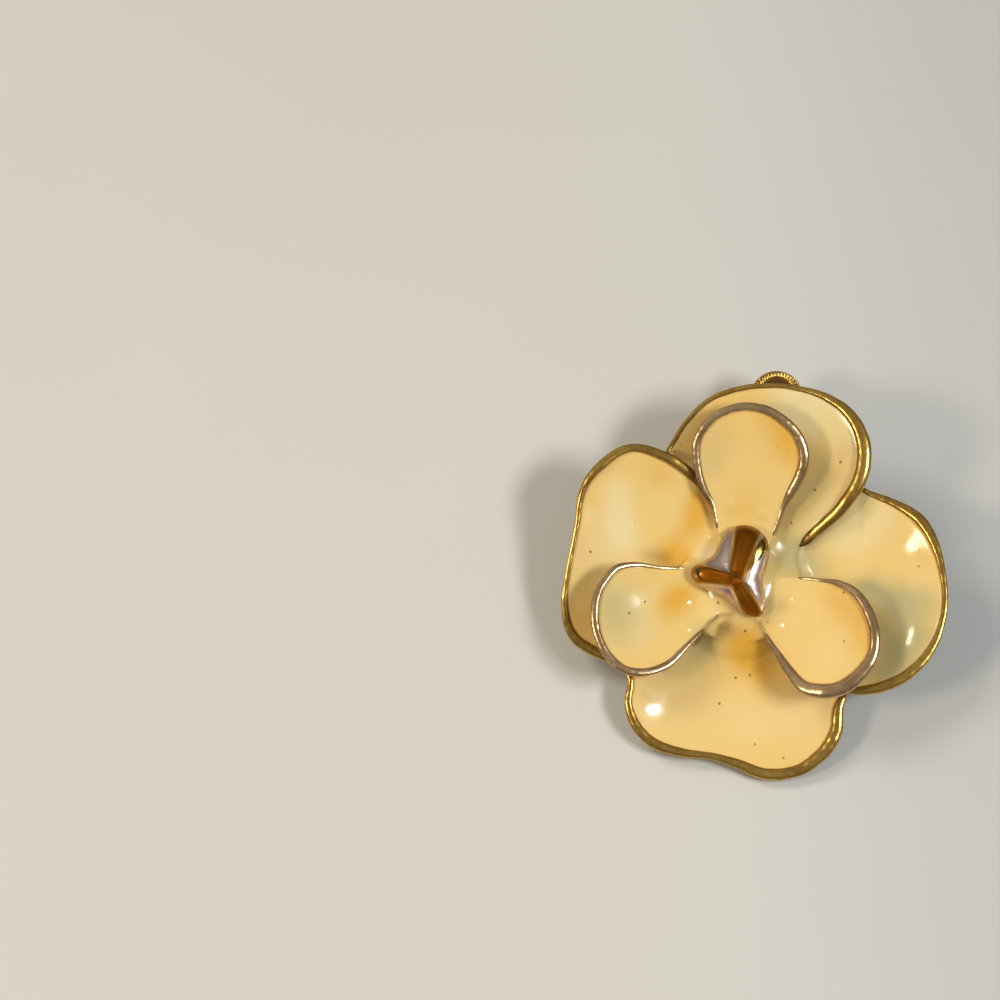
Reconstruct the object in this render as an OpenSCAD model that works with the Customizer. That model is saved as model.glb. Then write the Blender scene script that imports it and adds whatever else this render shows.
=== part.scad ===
// Enamelled flower earring with a clip back, lying on its back as on a table.
// Every piece is drawn in the flower's own frame: hub centre at the origin, +X right,
// +Y towards the top petal, +Z out of the flower's face. lay_down() then tips the whole
// earring until it rests on the tip of the bottom petal and the ears of the clip.

/* [Petals] */
// Thickness of the cast metal of a petal
metal_t = 0.8; // [0.6:0.05:0.9]
// Thickness of the enamel poured into a petal
enamel_t = 0.25; // [0.2:0.05:0.3]
// Clearance between pieces that touch on the real earring
fit_gap = 0.05; // [0.03:0.01:0.06]
// Height of an outer petal's upper edge over the petal that it covers, at the outline
overlap_step = 1.5; // [1.2:0.05:1.6]
// How far the middle of an outer petal is dished
outer_dish = 0.9; // [0.4:0.1:1.2]
// How far the middle of an inner petal is dished
inner_dish = 0.6; // [0.3:0.1:0.8]
// Facets round the rolled rim of a petal
rim_sides = 6; // [6:1:8]

/* [Hub] */
// Radius of the lower casting's flat hub
outer_hub_r = 4.9; // [4.6:0.1:5.2]
// Radius of the upper casting's flat hub
inner_hub_r = 4.5; // [4.4:0.1:4.6]
// Radius of the enamel dome round the bud
dome_r = 3.9; // [3.6:0.1:4]
// Height of the enamel dome
dome_h = 0.9; // [0.7:0.1:1.1]
// Radius of the rivet stem under the bud
stem_r = 0.8; // [0.6:0.05:0.9]

/* [Bud] */
// Scale of the bud's foot over the dome
bud_arm = 1; // [0.9:0.01:1.05]
// Height of the bud over the dome
bud_h = 3.0; // [2.4:0.1:3.4]

/* [Clip] */
// Turn of the clip's line from the flower's own upright
clip_lean = 10.8; // [0:0.1:15]
// Distance of the hinge pin from the hub, along the clip's line
hinge_y = 4.4; // [4:0.1:5]
// Depth of the hinge pin behind the hub
hinge_z = -5.0; // [-5.2:0.1:-4.7]
// Radius of the hinge pin
pin_r = 0.5; // [0.45:0.01:0.55]
// Radial running clearance of the lever on its pin
pin_play = 0.05; // [0.03:0.01:0.08]
// Width of the lever's strap
lever_w = 3.4; // [3:0.1:4.2]
// Thickness of the lever's strap
lever_t = 0.7; // [0.6:0.05:0.8]
// Distance from the hinge pin to the middle of the lever's round end
lever_l = 14.0; // [12.6:0.1:14.2]
// Depth that the strap bows away from the flower
lever_bow = 2.1; // [1.8:0.1:2.3]
// Radius of the lever's round end
pad_r = 2.4; // [2.2:0.1:3]

/* [Rest] */
// Tip towards the viewer when the earring lies on a table
lie_tilt = 13.7; // [8:0.1:16]
// Roll to the left when the earring lies on a table
lie_roll = 2.7; // [0:0.1:10]
// Place of the hub over the table, measured from the middle of the earring's footprint
rest_x = -1.12; // [-3:0.01:3]
rest_y = -1.84; // [-3:0.01:3]
rest_z = 5.1; // [4:0.01:7]

/* [Hidden] */

// Rim tables. Each row is one station along a petal's rim, from the hub end of the edge
// that lies over the next petal, round the outline, to where the rim dips under.
// Columns: bearing from the hub in degrees, reach from the hub in mm,
// lift of the rim over the hub in mm, half the width of the rolled rim in mm.
BEARING = 0;
REACH = 1;
LIFT = 2;
RIM = 3;

right_rim = [[-54, 4.2, 0.3, 0.12], [-52, 8.0, 1.0, 0.20], [-49, 11.0, 1.4, 0.25],
             [-46, 13.6, 1.8, 0.33], [-39, 15.5, 2.0, 0.47], [-30, 17.2, 2.2, 0.47],
             [-20, 18.2, 2.3, 0.38], [-9, 18.5, 2.4, 0.28], [2, 18.2, 2.3, 0.30],
             [11, 17.8, 2.1, 0.42], [19, 17.1, 1.9, 0.50], [27, 15.6, 1.6, 0.35],
             [34, 14.3, 1.4, 0.25], [39, 14.0, 1.35, 0.20]];

top_rim = [[28, 4.2, 0.3, 0.12], [33, 7.6, 1.0, 0.42], [35, 11.0, 2.1, 0.57],
           [39, 14.0, 2.8, 0.65], [45, 16.2, 3.1, 0.65], [53, 17.8, 3.2, 0.55],
           [62, 18.5, 3.0, 0.38], [74, 18.4, 2.6, 0.22], [87, 17.9, 2.2, 0.24],
           [98, 17.1, 1.8, 0.23], [107, 15.7, 1.5, 0.20], [114, 14.4, 1.3, 0.20],
           [120, 13.4, 1.25, 0.20]];

left_rim = [[104, 4.2, 0.3, 0.12], [110, 9.2, 1.6, 0.35], [115, 11.6, 2.3, 0.50],
            [120, 13.4, 2.7, 0.45], [128, 15.7, 2.9, 0.38], [138, 16.4, 3.0, 0.42],
            [148, 16.5, 2.7, 0.30], [161, 15.6, 2.1, 0.22], [174, 15.6, 1.5, 0.22],
            [187, 16.1, 0.7, 0.30], [196, 15.9, 0.1, 0.45], [203, 14.7, -0.2, 0.50],
            [214, 12.4, -0.45, 0.38]];

bottom_rim = [[204, 4.2, 0.3, 0.12], [206, 7.6, 0.7, 0.22], [210, 10.5, 0.9, 0.25],
              [213, 12.6, 1.1, 0.25], [221, 13.2, 1.0, 0.27], [227, 14.9, 0.9, 0.36],
              [234, 16.0, 0.7, 0.45], [242, 16.4, 0.5, 0.47], [251, 16.1, 0.3, 0.40],
              [260, 15.8, 0.2, 0.33], [268, 16.2, 0.05, 0.43], [277, 17.3, -0.1, 0.54],
              [286, 17.6, -0.2, 0.54], [295, 17.0, 0, 0.60], [302, 15.9, 0.2, 0.58],
              [308, 14.2, 0.3, 0.45], [314, 13.6, 0.35, 0.30]];

inner_top_rim = [[50, 3.4, 1.5, 0.10], [58, 7.2, 2.1, 0.18], [59, 9.2, 2.8, 0.38],
                 [59, 11.0, 3.4, 0.46], [61, 12.5, 3.9, 0.47], [66, 13.9, 4.3, 0.45],
                 [74, 15.0, 4.7, 0.43], [83, 15.6, 4.9, 0.39], [92, 15.4, 4.8, 0.37],
                 [100, 14.5, 4.5, 0.38], [106, 13.0, 4.1, 0.36], [109, 10.9, 3.5, 0.33],
                 [110, 9.0, 2.9, 0.33], [108, 7.2, 2.25, 0.18], [114, 3.4, 1.5, 0.10]];

inner_left_rim = [[158, 3.4, 1.5, 0.10], [168, 6.5, 2.2, 0.15], [170, 9.0, 3.3, 0.22],
                  [173, 10.8, 3.9, 0.30], [180, 12.0, 4.3, 0.33], [188, 12.9, 4.6, 0.38],
                  [199, 13.5, 4.6, 0.38], [210, 13.5, 4.4, 0.38], [219, 12.9, 4.2, 0.40],
                  [226, 11.3, 3.75, 0.36], [230, 9.4, 3.25, 0.33], [231, 7.3, 2.7, 0.24],
                  [234, 3.4, 1.5, 0.10]];

inner_right_rim = [[-66, 3.4, 1.5, 0.10], [-63, 6.6, 2.15, 0.25], [-62, 9.0, 3.05, 0.45],
                   [-60, 11.1, 3.8, 0.60], [-55, 12.4, 4.3, 0.68], [-48, 13.4, 4.6, 0.67],
                   [-40, 13.8, 4.8, 0.60], [-31, 13.8, 4.9, 0.50], [-23, 13.1, 4.9, 0.47],
                   [-15, 11.9, 4.65, 0.46], [-8, 10.6, 4.3, 0.40], [-3, 9.0, 3.65, 0.30],
                   [0, 7.2, 2.75, 0.16], [6, 3.4, 1.5, 0.10]];

// Row of an outer rim table at which the edge leaves the petal that it covers
JUNCTION = 3;
// Degrees that a covered petal reaches under its neighbour's edge at the hub, and how
// much lower it lies there
tuck = 3;
tuck_drop = 0.4;
// Clear width between the enamel and the raised hub
hub_clear = 0.8;

// Heart of each petal, the low middle that its surface rises from.
// Columns: bearing, reach and lift of the heart, slope of the surface outwards and
// across towards higher bearings, in mm per mm.
SLOPE_OUT = 3;
SLOPE_ACROSS = 4;
right_heart = [-8, 11.4, 1.0, 0.13, -0.02];
top_heart = [76, 11.4, 1.1, 0.14, -0.07];
left_heart = [160, 10.4, 1.0, 0.08, -0.13];
bottom_heart = [262, 10.6, 0.2, 0.0, -0.02];
inner_top_heart = [84, 10.4, 3.1, 0.28, 0.0];
inner_left_heart = [200, 9.0, 3.0, 0.30, 0.0];
inner_right_heart = [-32, 9.0, 3.1, 0.32, 0.03];

// Foot of the bud: three arms with hollows between them.
// Columns: bearing and reach from the bud's peak, hollowness of the skin above.
HOLLOW = 2;
bud_foot = [[5, 2.4, 2.6], [30, 3.3, 1.9], [50, 4.6, 1.0], [66, 5.2, 0.7], [81, 5.3, 0.5],
            [95, 4.9, 0.8], [110, 4.0, 1.7], [128, 3.2, 2.3], [148, 3.6, 1.3],
            [163, 4.0, 0.5], [178, 3.4, 1.2], [205, 2.1, 2.3], [243, 1.8, 2.6],
            [283, 2.8, 1.3], [303, 3.7, 0.5], [320, 3.3, 1.2], [345, 2.6, 2.1],
            [365, 2.4, 2.6]];
bud_x = -0.25;
bud_y = -0.1;
foot_t = 0.5;
bud_sides = 36;
bud_rings = [0.2, 0.38, 0.54, 0.68, 0.8, 0.9, 0.97, 1];

// Levels of the hub in the flower's frame
plate_drop = 0.25;
hub_back_z = -0.9;
outer_hub_z = 0.25;
inner_hub_z = outer_hub_z + fit_gap;
inner_hub_top = 1.4;
dome_z = inner_hub_top + fit_gap;
bud_z = dome_z + dome_h + fit_gap;
frame_z = hub_back_z - fit_gap;
frame_t = 0.7;
rivet_h = 0.4;
rivet_r = 1.5;
rivet_z = frame_z - frame_t - fit_gap - rivet_h;

// Sizes of the clip's small parts
ear_in = 2.4;
ear_out = 3.2;
ear_r = 1.3;
pin_seat = 0.02;
peen_r = 1.5 * pin_r;
peen_h = 0.25;
barrel_r = 1.05;
barrel_play = 0.2;
pad_lift = 1.3;
strap_steps = 16;
// Length of a tool that cuts right through
through = 20;

// Grid of a petal's surface: rings between its heart and the enamel's edge
ring_steps = [0.3, 0.55, 0.8, 1];

function spline(p, q, r, s, t) =
    q + t * ((r - p) / 2 + t * (p - 2.5 * q + 2 * r - s / 2 + t * (1.5 * (q - r) + (s - p) / 2)));

// Row of a table at a fractional index, by a Catmull-Rom curve through the rows
function row_at(rows, t) =
    let (last = len(rows) - 1, i = min(floor(t), last - 1), f = t - i)
    spline(rows[max(i - 1, 0)], rows[i], rows[i + 1], rows[min(i + 2, last)], f);

function flat(row) = [row[REACH] * cos(row[BEARING]), row[REACH] * sin(row[BEARING])];

// Stretch of a petal's outline inside the hub, from bearing to back to the first row.
// Its half width keeps the enamel clear of the raised hub.
function hub_stretch(first, to, hub_r) =
    [for (k = [4 : -1 : 0])
        [first[BEARING] + (to - first[BEARING]) * k / 4, first[REACH], first[LIFT],
         hub_r - first[REACH] + hub_clear]];

// Closed outline of an outer petal: its own rim, then back along the edge of the petal
// that covers it, tucked under it and one overlap step lower, and round the hub.
// turn brings the neighbour's bearings into line.
function outer_outline(own, over, turn) =
    let (last = len(own) - 1)
    concat(
        [for (t = [0.5 : 0.5 : last]) row_at(own, t)],
        [for (t = [JUNCTION - 0.5 : -0.5 : 0.5])
            let (edge = row_at(over, t), way = t / JUNCTION)
            [edge[BEARING] + turn + tuck * (1 - way), edge[REACH],
             edge[LIFT] - tuck_drop * (1 - way) - overlap_step * pow(way, 1.2),
             edge[RIM] + edge[REACH] * sin(tuck * (1 - way))]],
        hub_stretch(own[0], over[0][BEARING] + turn, outer_hub_r));

// Closed outline of an inner petal: its own rim and the stretch inside the hub
function inner_outline(own) =
    let (last = len(own) - 1)
    concat(
        [for (t = [0.5 : 0.5 : last - 0.5]) row_at(own, t)],
        hub_stretch(own[0], own[last][BEARING], inner_hub_r));

// Share of each ray from the heart that the enamel covers: it stops short of the
// rolled rim by the rim's half width and the fit gap, measured square to the rim
function enamel_share(outline, heart) =
    let (n = len(outline))
    [for (i = [0 : n - 1])
        let (along = flat(outline[(i + 1) % n]) - flat(outline[(i + n - 1) % n]),
             ray = flat(outline[i]) - flat(heart),
             skew = abs(cross(along, ray)) / norm(along) / norm(ray))
        1 - (outline[i][RIM] + fit_gap) / max(skew, 0.45) / norm(ray)];

// Height of the tilted plane through a petal's heart at the end of one ray
function plane_at(row, heart) =
    let (c = flat(heart), out = c / norm(c), ray = flat(row) - c)
    heart[LIFT] + heart[SLOPE_OUT] * (ray * out) + heart[SLOPE_ACROSS] * cross(out, ray);

// Rise of the surface over the plane at share s of ray i: a mean of the rim's own rises,
// in which the near rays count more the further out the point lies
function rise_at(rises, i, s) =
    s == 1 ? rises[i] :
    let (n = len(rises), pull = [for (k = [0 : n - 1]) 1 / (1 + s * s - 2 * s * cos(360 * (k - i) / n))])
    s * s * (rises * pull) / (pull * [for (p = pull) 1]);

// One ring of points on a petal's metal, at a share of each ray from the heart: the plane,
// the rise, and the dish in the middle
function ring(outline, heart, shares, dish, dz) =
    let (c = flat(heart), planes = [for (row = outline) plane_at(row, heart)],
         rises = [for (i = [0 : len(outline) - 1]) outline[i][LIFT] - planes[i]])
    [for (i = [0 : len(outline) - 1])
        let (s = shares[i], p = c + s * (flat(outline[i]) - c))
        [p[0], p[1], heart[LIFT] + s * (planes[i] - heart[LIFT]) + rise_at(rises, i, s)
            - dish * pow(1 - s * s, 1.5) - plate_drop + dz]];

function pole(heart, dish, dz) =
    let (c = flat(heart))
    [c[0], c[1], heart[LIFT] - dish - plate_drop + dz];

// Faces of a closed body made of two poles and rings of n points between them
function capsule_faces(n, rings) = concat(
    [for (i = [0 : n - 1]) [0, 1 + (i + 1) % n, 1 + i]],
    [for (k = [0 : rings - 2]) for (i = [0 : n - 1])
        let (a = 1 + k * n + i, b = 1 + k * n + (i + 1) % n)
        each [[a, b, a + n], [b, b + n, a + n]]],
    [for (i = [0 : n - 1])
        let (base = 1 + (rings - 1) * n)
        [base + i, base + (i + 1) % n, 1 + rings * n]]);

module capsule_body(top_pole, ring_list, low_pole) {
    n = len(ring_list[0]);
    points = concat([top_pole], [for (r = ring_list) each r], [low_pole]);
    polyhedron(points, capsule_faces(n, len(ring_list)), convexity = 6);
}

// Cast metal of one petal: rings from the heart to the rim on top and back below
module petal_plate(outline, heart, dish) {
    share = enamel_share(outline, heart);
    full = [for (s = share) 1];
    steps = len(ring_steps);
    upper = [for (k = [0 : steps - 1]) ring(outline, heart, share * ring_steps[k], dish, 0)];
    lower = [for (k = [steps - 1 : -1 : 0])
        ring(outline, heart, share * ring_steps[k], dish, -metal_t)];
    capsule_body(pole(heart, dish, 0),
        concat(upper, [ring(outline, heart, full, dish, 0)],
               [ring(outline, heart, full, dish, -metal_t)], lower),
        pole(heart, dish, -metal_t));
}

// Enamel of one petal: the same rings, raised off the metal by the fit gap
module petal_enamel(outline, heart, dish) {
    share = enamel_share(outline, heart);
    steps = len(ring_steps);
    top_dz = fit_gap + enamel_t;
    upper = [for (k = [0 : steps - 1]) ring(outline, heart, share * ring_steps[k], dish, top_dz)];
    lower = [for (k = [steps - 1 : -1 : 0])
        ring(outline, heart, share * ring_steps[k], dish, fit_gap)];
    capsule_body(pole(heart, dish, top_dz), concat(upper, lower), pole(heart, dish, fit_gap));
}

// Rolled rim of a petal: beads hulled in pairs along the rim, taller than wide
// where the rim is thin, so that it always grips the edge of the metal
module rolled_rim(rows, first, last) {
    module bead(row) {
        top = 0.5 * row[RIM];
        low = 0.7;
        p = flat(row);
        translate([p[0], p[1], row[LIFT] + (top - low) / 2])
            scale([row[RIM], row[RIM], (top + low) / 2])
                sphere(r = 1, $fn = rim_sides);
    }
    for (t = [first : 0.5 : last - 0.5])
        hull() {
            bead(row_at(rows, t));
            bead(row_at(rows, t + 0.5));
        }
}

module lay_down() {
    translate([rest_x, rest_y, rest_z])
        rotate([lie_tilt, 0, 0])
            rotate([0, -lie_roll, 0])
                children();
}

// Hole for the rivet stem through both castings and the clip's plate
module rivet_hole() {
    translate([0, 0, -through / 2])
        cylinder(r = stem_r + fit_gap, h = through, $fn = 24);
}

outer_rims = [right_rim, top_rim, left_rim, bottom_rim];
outer_hearts = [right_heart, top_heart, left_heart, bottom_heart];
inner_rims = [inner_top_rim, inner_left_rim, inner_right_rim];
inner_hearts = [inner_top_heart, inner_left_heart, inner_right_heart];

function outer_of(i) = outer_outline(outer_rims[i], outer_rims[(i + 1) % 4], i == 3 ? 360 : 0);

module outer_petals() {
    color("goldenrod") lay_down() difference() {
        union() {
            for (i = [0 : 3]) {
                petal_plate(outer_of(i), outer_hearts[i], outer_dish);
                rolled_rim(outer_rims[i], 0.5, len(outer_rims[i]) - 1);
            }
            translate([0, 0, hub_back_z])
                cylinder(r = outer_hub_r, h = outer_hub_z - hub_back_z, $fn = 48);
        }
        rivet_hole();
    }
}

module inner_petals() {
    color("rosybrown") lay_down() difference() {
        union() {
            for (i = [0 : 2]) {
                petal_plate(inner_outline(inner_rims[i]), inner_hearts[i], inner_dish);
                rolled_rim(inner_rims[i], 0.5, len(inner_rims[i]) - 1.5);
            }
            translate([0, 0, inner_hub_z])
                cylinder(r = inner_hub_r, h = inner_hub_top - inner_hub_z, $fn = 48);
        }
        rivet_hole();
    }
}

module outer_enamel(i) {
    color("khaki") lay_down() petal_enamel(outer_of(i), outer_hearts[i], outer_dish);
}

module inner_enamel(i) {
    color("wheat") lay_down()
        petal_enamel(inner_outline(inner_rims[i]), inner_hearts[i], inner_dish);
}

// Enamel pooled round the bud: flat in the middle, rounded off to its edge
module enamel_dome() {
    flat_r = 0.62 * dome_r;
    curve = [for (a = [0 : 15 : 90])
        [flat_r + (dome_r - flat_r) * sin(a), dome_z + dome_h * cos(a)]];
    color("cornsilk") lay_down() rotate_extrude($fn = 64)
        polygon(concat([[stem_r + fit_gap, dome_z]],
                       [[stem_r + fit_gap, dome_z + dome_h]], curve));
}

// One point on the bud, at share s of the way from its peak to its foot
function bud_point(row, s, z) =
    let (p = s * bud_arm * flat(row))
    [bud_x + p[0], bud_y + p[1], z];

// Closed skin of the bud: rings from its peak down to its foot. Where the hollowness is
// low the skin stays up as a rounded ridge, where it is high it sinks away.
module bud() {
    foot = [for (k = [0 : bud_sides - 1]) row_at(bud_foot, k * (len(bud_foot) - 1) / bud_sides)];
    skin = [for (s = bud_rings)
        [for (row = foot)
            bud_point(row, s, bud_z + foot_t + (bud_h - foot_t) * pow(1 - s * s, row[HOLLOW]))]];
    sole = [for (row = foot) bud_point(row, 1, bud_z)];
    color("darkgoldenrod") lay_down() union() {
        capsule_body([bud_x, bud_y, bud_z + bud_h], concat(skin, [sole]),
                     [bud_x, bud_y, bud_z]);
        translate([0, 0, rivet_z])
            cylinder(r = stem_r, h = bud_z + foot_t - rivet_z, $fn = 24);
        translate([0, 0, rivet_z])
            cylinder(r = rivet_r, h = rivet_h, $fn = 32);
    }
}

// Turns a piece from the clip's own frame, in which the lever runs along +Y
module clip_place() {
    lay_down() rotate([0, 0, -clip_lean]) children();
}

// A round bar along X, centred on the hinge
module hinge_bar(r, length, sides) {
    translate([-length / 2, hinge_y, hinge_z])
        rotate([0, 90, 0])
            cylinder(r = r, h = length, $fn = sides);
}

// Plate behind the hub, with two ears that carry the hinge pin
module clip_frame() {
    color("gold") clip_place() difference() {
        union() {
            translate([0, 0, frame_z - frame_t])
                cylinder(r = ear_out, h = frame_t, $fn = 48);
            translate([-ear_out, 0, frame_z - frame_t])
                cube([2 * ear_out, hinge_y + ear_r, frame_t]);
            for (x = [-ear_out, ear_in])
                translate([x, hinge_y - ear_r, hinge_z])
                    cube([ear_out - ear_in, 2 * ear_r, frame_z - frame_t / 2 - hinge_z]);
            for (x = [-ear_out, ear_in])
                translate([x, hinge_y, hinge_z])
                    rotate([0, 90, 0])
                        cylinder(r = ear_r, h = ear_out - ear_in, $fn = 40);
        }
        hinge_bar(pin_r + pin_seat, through, 40);
        rivet_hole();
    }
}

// Pin through both ears, peened over at its ends
module hinge_pin() {
    color("darkgoldenrod") clip_place() union() {
        hinge_bar(pin_r, 2 * (ear_out + fit_gap + peen_h), 40);
        for (side = [-1, 1])
            translate([side * (ear_out + fit_gap + peen_h / 2), hinge_y, hinge_z])
                rotate([0, 90, 0])
                    cylinder(r = peen_r, h = peen_h, center = true, $fn = 32);
    }
}

// Height of the strap's middle at share s of the way from the pin to the round end
function strap_z(s) = hinge_z + pad_lift * s - lever_bow * sin(180 * pow(s, 0.85));

// Barrel on the pin, bowed strap and round end, bent from one piece
module clip_lever() {
    back = [for (k = [0 : strap_steps])
        let (s = k / strap_steps) [hinge_y + lever_l * s, strap_z(s) - lever_t / 2]];
    front = [for (k = [strap_steps : -1 : 0])
        let (s = k / strap_steps) [hinge_y + lever_l * s, strap_z(s) + lever_t / 2]];
    color("goldenrod") clip_place() difference() {
        union() {
            hinge_bar(barrel_r, 2 * (ear_in - barrel_play), 40);
            rotate([90, 0, 90])
                translate([0, 0, -lever_w / 2])
                    linear_extrude(lever_w)
                        polygon(concat(back, front));
            translate([0, hinge_y + lever_l, strap_z(1) - lever_t / 2])
                cylinder(r = pad_r, h = lever_t, $fn = 48);
        }
        hinge_bar(pin_r + pin_play, through, 40);
    }
}

outer_petals();
inner_petals();
outer_enamel(0);  // enamel_right
outer_enamel(1);  // enamel_top
outer_enamel(2);  // enamel_left
outer_enamel(3);  // enamel_bottom
inner_enamel(0);  // enamel_inner_top
inner_enamel(1);  // enamel_inner_left
inner_enamel(2);  // enamel_inner_right
enamel_dome();
bud();
clip_frame();
hinge_pin();
clip_lever();
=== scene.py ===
import math

import bpy
import numpy as np
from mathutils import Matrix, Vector


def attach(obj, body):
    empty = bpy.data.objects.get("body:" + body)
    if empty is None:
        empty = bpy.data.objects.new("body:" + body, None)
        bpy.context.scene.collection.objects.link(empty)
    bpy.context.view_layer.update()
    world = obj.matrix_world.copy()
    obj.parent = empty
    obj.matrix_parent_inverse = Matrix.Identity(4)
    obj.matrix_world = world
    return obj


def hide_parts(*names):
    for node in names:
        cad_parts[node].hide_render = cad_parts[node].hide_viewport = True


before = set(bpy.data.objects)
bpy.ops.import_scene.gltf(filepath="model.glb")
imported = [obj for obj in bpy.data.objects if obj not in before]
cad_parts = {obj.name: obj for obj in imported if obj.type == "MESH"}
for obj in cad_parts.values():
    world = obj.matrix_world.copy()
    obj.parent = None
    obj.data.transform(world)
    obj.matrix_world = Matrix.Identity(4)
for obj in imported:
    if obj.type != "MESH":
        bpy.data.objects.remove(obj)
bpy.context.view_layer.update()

print("frame loaded:", len(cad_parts), "nodes")

# Lengths are in mm in the flower's own frame: hub at the middle, +Y to the top petal, +Z out
# of the face. lieDown turns them into the room's metres, as the solids lie.
lie = {"tilt": 13.7, "roll": 2.7, "rest": (-1.12, -1.84, 5.1), "clipLean": 10.8}
mm = 0.001


# the point a, b turned by an angle: a cos - b sin, a sin + b cos
def turned(a, b, degrees):
    cos, sin = math.cos(math.radians(degrees)), math.sin(math.radians(degrees))
    return a * cos - b * sin, a * sin + b * cos


# room = rest + turn about X by the tilt of (turn about Y by minus the roll of p), in metres
def lieDown(p):
    x, z = turned(p[..., 0], p[..., 2], lie["roll"])
    y, z = turned(p[..., 1], z, lie["tilt"])
    return mm * (np.stack([x, y, z], -1) + lie["rest"])


# the clip's line leans from the flower's: turn about Z by minus the lean, then lie down
def clipDown(p):
    x, y = turned(p[..., 0], p[..., 1], -lie["clipLean"])
    return lieDown(np.stack([x, y, p[..., 2]], -1))


def addObject(name, data):
    thing = bpy.data.objects.new(name, data)
    bpy.context.scene.collection.objects.link(thing)
    return thing


# A skin is a stack of closed rings [m, n, 3] with one point closing each end
def skin(rings, place=lieDown, **marks):
    rings = np.asarray(rings, float)
    m, n = rings.shape[:2]
    points = np.vstack([rings[0].mean(0), rings.reshape(-1, 3), rings[-1].mean(0)])
    data = {}
    for key, value in marks.items():
        value = np.broadcast_to(value, (m, n)).astype(float)
        data[key] = np.concatenate([[value[0].mean()], value.ravel(), [value[-1].mean()]])
    return {"points": place(points), "m": m, "n": n, "marks": data}


def ringFaces(m, n):
    i = np.arange(n)
    j = (i + 1) % n
    rows = np.arange(m - 1)[:, None] * n + 1
    quads = np.stack([rows + i, rows + j, rows + n + j, rows + n + i], -1).reshape(-1, 4)
    start = np.stack([np.zeros(n, int), 1 + j, 1 + i], -1)
    end = np.stack([np.full(n, 1 + m * n), 1 + (m - 1) * n + i, 1 + (m - 1) * n + j], -1)
    return quads, np.vstack([start, end])


# Joins skins into one object, all triangles first. The sign of the volume under a skin's faces,
# the sum of a . (b x c) over its triangles, says which way they must wind.
def makePiece(name, skins, material, body, nodes):
    tris, quads, base = [], [], 0
    for s in skins:
        q, t = ringFaces(s["m"], s["n"])
        p = s["points"]
        a = np.vstack([t, q[:, [0, 1, 2]], q[:, [0, 2, 3]]])
        if np.einsum("ij,ij->i", p[a[:, 0]], np.cross(p[a[:, 1]], p[a[:, 2]])).sum() < 0:
            q, t = q[:, ::-1], t[:, ::-1]
        tris += (t + base).tolist()
        quads += (q + base).tolist()
        base += len(p)
    mesh = bpy.data.meshes.new(name)
    points = np.vstack([s["points"] for s in skins])
    mesh.from_pydata(points.tolist(), [], tris + quads, shade_flat=False)
    mesh.validate()
    for key in sorted({k for s in skins for k in s["marks"]}):
        values = [s["marks"].get(key, np.zeros(len(s["points"]))) for s in skins]
        layer = mesh.attributes.new(key, "FLOAT", "POINT")
        layer.data.foreach_set("value", np.concatenate(values).astype(np.float32))
    piece = addObject(name, mesh)
    mesh.materials.append(material)
    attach(piece, body)
    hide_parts(*nodes)
    print("made", name, len(tris) + 2 * len(quads), "triangles")


# Catmull-Rom through a table's rows: between q and r, with p before and s after,
# q + f((r - p)/2 + f(p - 2.5q + 2r - s/2 + f(1.5(q - r) + (s - p)/2)))
def rowsAt(table, t):
    rows = np.asarray(table, float)
    last = len(rows) - 1
    t = np.clip(np.asarray(t, float), 0, last)
    i = np.minimum(np.floor(t).astype(int), last - 1)
    f = (t - i)[:, None]
    p, q, r, s = (rows[np.clip(i + k, 0, last)] for k in (-1, 0, 1, 2))
    bend = p - 2.5 * q + 2 * r - s / 2 + f * (1.5 * (q - r) + (s - p) / 2)
    return q + f * ((r - p) / 2 + f * bend)


# x, y, lift and half width from bearing, reach, lift and half width
def flatten(rows):
    a = np.radians(rows[:, 0])
    return np.stack([rows[:, 1] * np.cos(a), rows[:, 1] * np.sin(a), rows[:, 2], rows[:, 3]], -1)


# blurs values round a closed loop over sigma steps: harmonic k of n fades by
# exp(-2 (pi sigma k / n)^2)
def blurLoop(values, sigma):
    n = values.shape[-1]
    fade = np.exp(-2 * (np.pi * sigma * np.arange(n // 2 + 1) / n) ** 2)
    return np.fft.irfft(np.fft.rfft(values) * fade, n)


def lengthsAlong(line):
    return np.concatenate([[0], np.cumsum(np.hypot(*np.diff(line[:, :2], axis=0).T))])


# resamples a closed line at n equal steps of its length, then blurs it
def evenLoop(rows, n, sigma):
    closed = np.vstack([rows, rows[:1]])
    length = lengthsAlong(closed)
    at = np.arange(n) * length[-1] / n
    return blurLoop(np.stack([np.interp(at, length, column) for column in closed.T]), sigma).T


# smooth maximum: blend * log of the sum of exp(value / blend)
def softMax(values, blend):
    top = np.max(values, axis=0)
    return top + blend * np.log(np.sum(np.exp((np.array(values) - top) / blend), axis=0))


# 0 below low, 1 above high, t^2 (3 - 2t) between
def ease(value, low, high):
    t = np.clip((value - low) / (high - low), 0, 1)
    return t * t * (3 - 2 * t)


# keeps the sign and raises the size to a power: below 1 it squares up a circle
def squared(value, power):
    return np.sign(value) * np.abs(value) ** power


def ringAngles(n):
    return np.linspace(0, 2 * np.pi, n, endpoint=False)


# sum of bell curves, each amount exp(-(distance / size)^2)
def bells(rows, x, y):
    out = 0 * x
    for bx, by, size, amount in rows:
        out = out + amount * np.exp(-((x - bx) ** 2 + (y - by) ** 2) / size ** 2)
    return out


# five sine waves with fixed phases, between about -1 and 1
def waver(t, seed):
    rng = np.random.default_rng(seed)
    out = 0 * t
    for k in range(5):
        wave = np.sin(t * rng.uniform(0.7, 2.6) * (1 + 0.6 * k) + rng.uniform(0, 6.28))
        out = out + wave / (1.4 + k)
    return out / 1.6


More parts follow.
